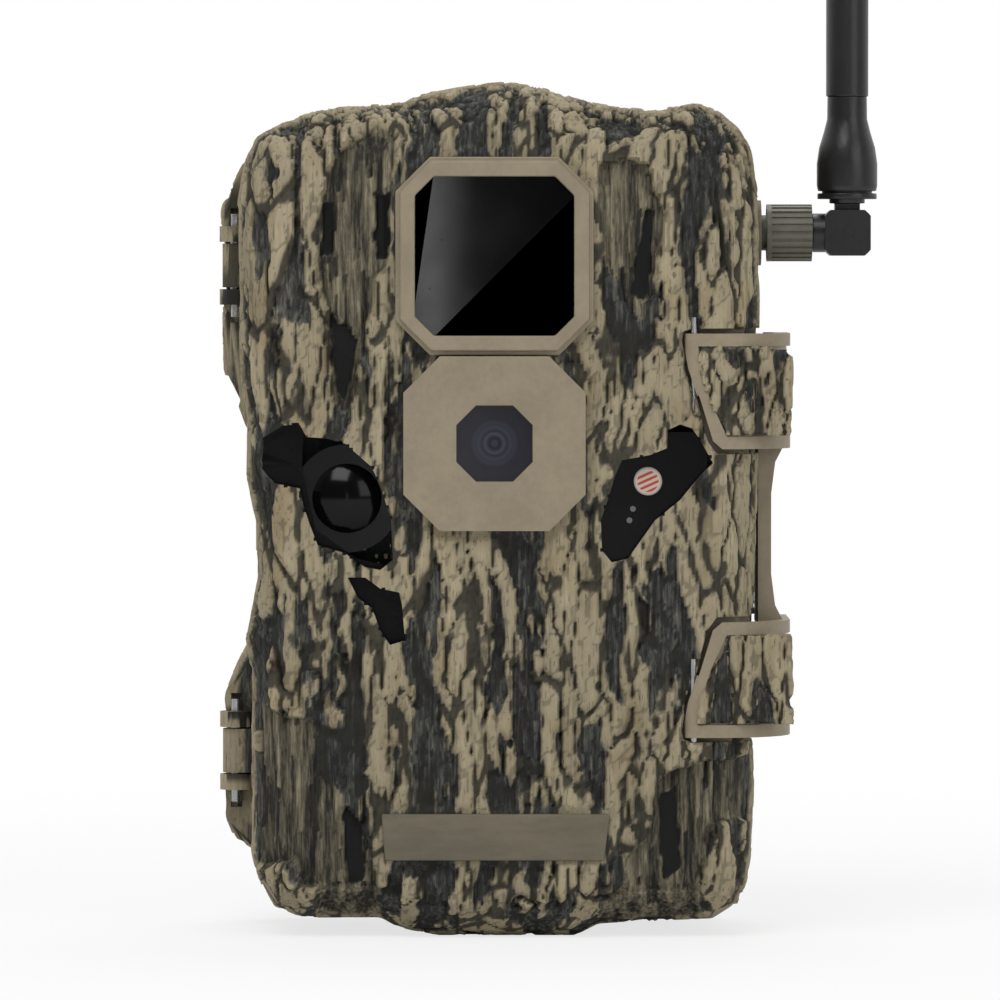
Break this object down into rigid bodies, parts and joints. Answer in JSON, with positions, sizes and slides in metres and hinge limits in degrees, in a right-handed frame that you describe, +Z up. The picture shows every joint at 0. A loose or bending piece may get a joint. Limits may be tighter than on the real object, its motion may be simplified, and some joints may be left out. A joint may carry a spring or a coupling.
{
  "type": "trail camera",
  "caption": "Cellular trail camera in a bark-shaped, bark-printed housing with side latch, swivel antenna, opening cover and tree bracket.",
  "frame": {"origin": "mouth of the tripod socket in the middle of the base", "axes": "+Z up, the lens looks along -Y, +X to the right seen from the front"},
  "size_m": [0.1154, 0.0656, 0.2325],
  "materials": {
    "bark_print": "bark camouflage print on a moulded bark relief",
    "tan_plastic": "matte tan",
    "black_gloss": "gloss black",
    "board_green": "solder mask",
    "led_clear": "clear",
    "black_plastic": "satin black",
    "glass": "clear",
    "chip": "gloss",
    "steel": "satin",
    "ceramic": "matte",
    "button_grey": "matte",
    "brass": "satin",
    "rubber": "matte",
    "cell_wrap": "printed sleeve, no text"
  },
  "bodies": {
    "rear": {"rear_housing": "bark_print", "door_seal": "rubber", "hinge_pins": "steel", "tripod_insert": "brass", "battery_tray": "black_plastic", "battery_springs": "steel", "battery_contacts": "steel", "battery_cells": "cell_wrap", "tree_bracket": "tan_plastic", "bracket_screws": "steel", "dc_jack": "black_plastic"},
    "latch": {"latch": "tan_plastic"},
    "antenna_nut": {"antenna_nut": "tan_plastic"},
    "antenna_base": {"antenna_elbow": "black_plastic", "antenna_pin": "steel"},
    "antenna_whip": {"antenna_boot": "black_plastic", "antenna_tube": "black_plastic"},
    "key_up": {"button_up": "button_grey"},
    "key_down": {"button_down": "button_grey"},
    "key_left": {"button_left": "button_grey"},
    "key_right": {"button_right": "button_grey"},
    "key_ok": {"button_ok": "button_grey"},
    "key_menu": {"button_menu": "button_grey"},
    "power_switch": {"power_switch": "button_grey"},
    "memory_card": {"memory_card": "black_plastic"},
    "jack_cap": {"jack_cap": "rubber"},
    "front": {"front_shell": "bark_print", "window_frame": "tan_plastic", "flash_window": "black_gloss", "flash_board": "board_green", "flash_leds": "led_clear", "lens_bezel": "tan_plastic", "lens_window": "black_gloss", "lens_holder": "black_plastic", "lens_barrel": "black_plastic", "lens_glass": "glass", "sensor_board": "board_green", "image_sensor": "chip", "motion_lens": "black_gloss", "motion_sensor": "steel", "sensor_window": "black_gloss", "photocell": "ceramic", "status_leds": "led_clear", "main_board": "board_green", "modem_module": "steel", "sim_socket": "steel", "inner_panel": "black_plastic", "screen": "black_gloss", "card_socket": "steel", "panel_screws": "steel", "front_plate": "tan_plastic", "antenna_jack": "brass", "latch_pins": "steel"}
  },
  "joints": [
    {"name": "cover_hinge", "type": "hinge", "parent": "rear", "child": "front", "pos_m": [-0.0455, -0.012, 0.074], "axis": [0, 0, -1], "range_deg": [0, 110]},
    {"name": "latch_lift", "type": "hinge", "parent": "front", "child": "latch", "pos_m": [0.0345, -0.0363, 0.07], "axis": [0, 0, -1], "range_deg": [0, 95]},
    {"name": "nut_turn", "type": "hinge", "parent": "front", "child": "antenna_nut", "pos_m": [0.0476, -0.0196, 0.1225], "axis": [1, 0, 0], "continuous": true},
    {"name": "antenna_swivel", "type": "hinge", "parent": "front", "child": "antenna_base", "pos_m": [0.0577, -0.0196, 0.1225], "axis": [1, 0, 0], "range_deg": [-90, 90]},
    {"name": "antenna_fold", "type": "hinge", "parent": "antenna_base", "child": "antenna_whip", "pos_m": [0.0617, -0.0196, 0.1225], "axis": [0, 1, 0], "range_deg": [0, 90]},
    {"name": "press_up", "type": "slide", "parent": "front", "child": "key_up", "axis": [0, -1, 0], "range_m": [0, 0.0008], "stiffness_N_per_m": 900, "springref_m": -0.0006},
    {"name": "press_down", "type": "slide", "parent": "front", "child": "key_down", "axis": [0, -1, 0], "range_m": [0, 0.0008], "stiffness_N_per_m": 900, "springref_m": -0.0006},
    {"name": "press_left", "type": "slide", "parent": "front", "child": "key_left", "axis": [0, -1, 0], "range_m": [0, 0.0008], "stiffness_N_per_m": 900, "springref_m": -0.0006},
    {"name": "press_right", "type": "slide", "parent": "front", "child": "key_right", "axis": [0, -1, 0], "range_m": [0, 0.0008], "stiffness_N_per_m": 900, "springref_m": -0.0006},
    {"name": "press_ok", "type": "slide", "parent": "front", "child": "key_ok", "axis": [0, -1, 0], "range_m": [0, 0.0008], "stiffness_N_per_m": 900, "springref_m": -0.0006},
    {"name": "press_menu", "type": "slide", "parent": "front", "child": "key_menu", "axis": [0, -1, 0], "range_m": [0, 0.0008], "stiffness_N_per_m": 900, "springref_m": -0.0006},
    {"name": "power_slide", "type": "slide", "parent": "front", "child": "power_switch", "axis": [1, 0, 0], "range_m": [0, 0.006]},
    {"name": "card_slide", "type": "slide", "parent": "front", "child": "memory_card", "axis": [-1, 0, 0], "range_m": [0, 0.012]},
    {"name": "cap_swing", "type": "hinge", "parent": "rear", "child": "jack_cap", "pos_m": [0.033, 0, 0.00175], "axis": [0, -1, 0], "range_deg": [0, 100]}
  ]
}
